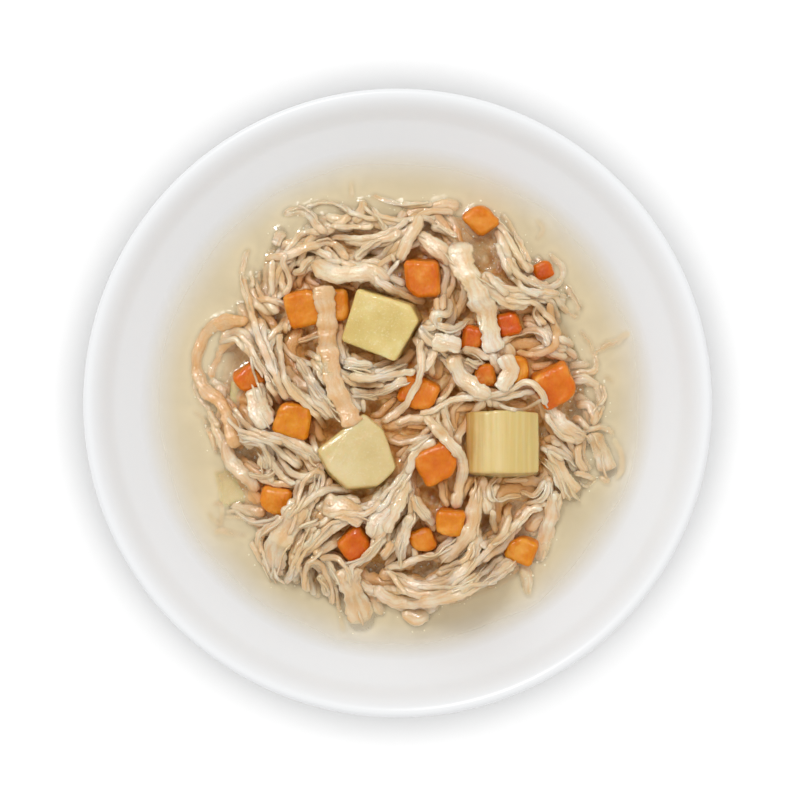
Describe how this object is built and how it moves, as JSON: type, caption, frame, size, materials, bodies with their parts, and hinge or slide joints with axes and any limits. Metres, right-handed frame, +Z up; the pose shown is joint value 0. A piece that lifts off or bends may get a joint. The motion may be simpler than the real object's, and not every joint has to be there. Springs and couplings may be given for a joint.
{
  "type": "bowl of chicken and vegetable soup",
  "caption": "Shallow white coupe bowl of soup: a low heap of pulled chicken with potato, celery and diced carrot, standing in pale cloudy broth. Food and bowl are one rigid piece.",
  "frame": {"origin": "on the table under the bowl's centre", "axes": "+Z up; +Y towards the far side and +X to the right for someone looking down on the bowl"},
  "size_m": [0.21, 0.21, 0.04],
  "materials": {
    "glazed_porcelain": "smooth white glaze",
    "cloudy_broth": "still cloudy liquid, wet gloss",
    "pulled_chicken": "moist, fibrous",
    "boiled_potato": "moist, waxy",
    "boiled_celery": "moist, fine ribs",
    "boiled_carrot": "wet, knife-cut"
  },
  "bodies": {
    "root": {"bowl": "glazed_porcelain", "broth": "cloudy_broth", "chicken_heap": "pulled_chicken", "potato_back": "boiled_potato", "potato_front": "boiled_potato", "celery": "boiled_celery", "carrot_01": "boiled_carrot", "carrot_02": "boiled_carrot", "carrot_03": "boiled_carrot", "carrot_04": "boiled_carrot", "carrot_05": "boiled_carrot", "carrot_06": "boiled_carrot", "carrot_07": "boiled_carrot", "carrot_08": "boiled_carrot", "carrot_09": "boiled_carrot", "carrot_10": "boiled_carrot", "carrot_11": "boiled_carrot", "carrot_12": "boiled_carrot", "carrot_13": "boiled_carrot", "carrot_14": "boiled_carrot", "carrot_15": "boiled_carrot", "carrot_16": "boiled_carrot", "carrot_17": "boiled_carrot", "carrot_18": "boiled_carrot", "carrot_19": "boiled_carrot"}
  },
  "joints": []
}
